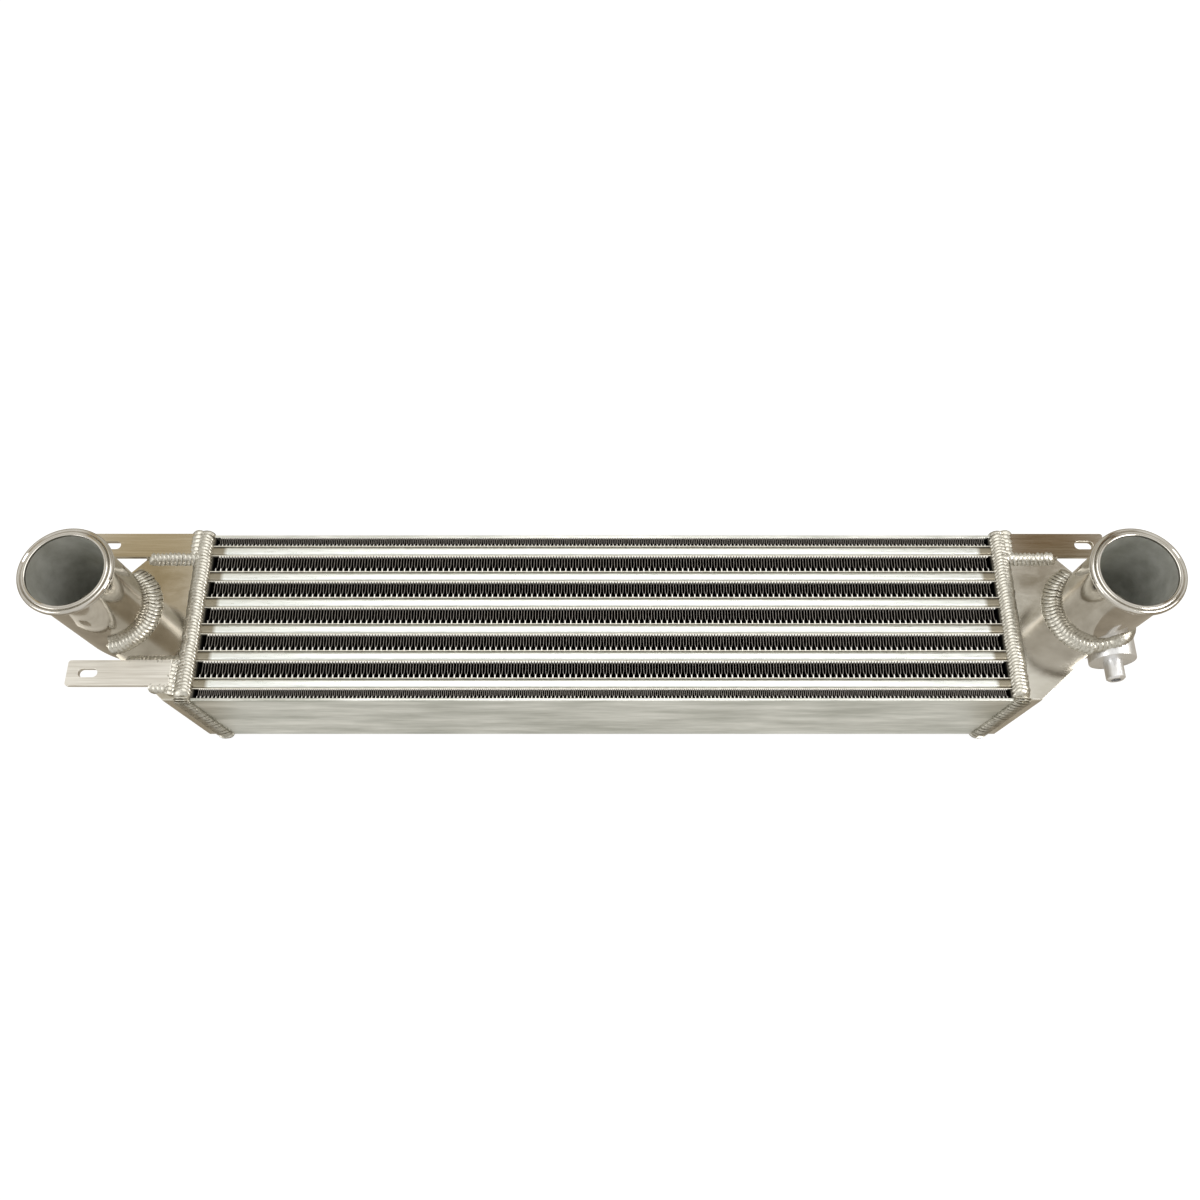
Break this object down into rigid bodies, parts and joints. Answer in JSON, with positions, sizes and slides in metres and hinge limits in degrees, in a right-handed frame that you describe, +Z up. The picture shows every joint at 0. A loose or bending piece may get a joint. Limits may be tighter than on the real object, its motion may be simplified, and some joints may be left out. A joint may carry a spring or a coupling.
{
  "type": "intercooler",
  "caption": "Bar-and-plate air-to-air intercooler with a finned core, welded end tanks, beaded tube necks, slotted mounting brackets and a side port.",
  "frame": {"origin": "middle of the part's footprint, on the surface it lies on", "axes": "+X along the core from the left tank to the right one, +Y across the stack away from the side with the port, +Z up through the core, towards the mouths of the necks"},
  "size_m": [0.7411, 0.1296, 0.1363],
  "materials": {
    "side_plate": "satin rolled sheet",
    "charge_bar": "bright satin drawn bar",
    "parting_sheet": "brazed clad sheet",
    "cooling_fin": "folded strip, seen dark between the bars",
    "turbulator": "folded strip, hidden inside the charge passages",
    "end_bar": "satin drawn bar",
    "tank_sheet": "polished sheet",
    "neck_tube": "mirror polished tube",
    "bracket": "brushed strip",
    "weld": "bright rippled weld bead",
    "port": "turned and polished"
  },
  "bodies": {
    "root": {"bracket_far_left": "bracket", "bracket_far_right": "bracket", "bracket_near_left": "bracket", "bracket_weld_far_left": "weld", "bracket_weld_far_right": "weld", "bracket_weld_near_left": "weld", "charge_bar_bottom_1": "charge_bar", "charge_bar_bottom_2": "charge_bar", "charge_bar_bottom_3": "charge_bar", "charge_bar_bottom_4": "charge_bar", "charge_bar_bottom_5": "charge_bar", "charge_bar_bottom_6": "charge_bar", "charge_bar_top_1": "charge_bar", "charge_bar_top_2": "charge_bar", "charge_bar_top_3": "charge_bar", "charge_bar_top_4": "charge_bar", "charge_bar_top_5": "charge_bar", "charge_bar_top_6": "charge_bar", "cooling_fin_1": "cooling_fin", "cooling_fin_2": "cooling_fin", "cooling_fin_3": "cooling_fin", "cooling_fin_4": "cooling_fin", "cooling_fin_5": "cooling_fin", "cooling_fin_6": "cooling_fin", "cooling_fin_7": "cooling_fin", "end_bars_left": "end_bar", "end_bars_right": "end_bar", "joint_weld_left": "weld", "joint_weld_right": "weld", "neck_left": "neck_tube", "neck_right": "neck_tube", "neck_weld_left": "weld", "neck_weld_right": "weld", "parting_sheets_1": "parting_sheet", "parting_sheets_2": "parting_sheet", "parting_sheets_3": "parting_sheet", "parting_sheets_4": "parting_sheet", "parting_sheets_5": "parting_sheet", "parting_sheets_6": "parting_sheet", "port_boss": "port", "port_nipple": "port", "port_weld": "weld", "side_plate_far": "side_plate", "side_plate_near": "side_plate", "tank_floor_left": "tank_sheet", "tank_floor_right": "tank_sheet", "tank_top_left": "tank_sheet", "tank_top_right": "tank_sheet", "tank_wall_far_left": "tank_sheet", "tank_wall_far_right": "tank_sheet", "tank_wall_near_left": "tank_sheet", "tank_wall_near_right": "tank_sheet", "turbulator_1": "turbulator", "turbulator_2": "turbulator", "turbulator_3": "turbulator", "turbulator_4": "turbulator", "turbulator_5": "turbulator", "turbulator_6": "turbulator"}
  },
  "joints": []
}
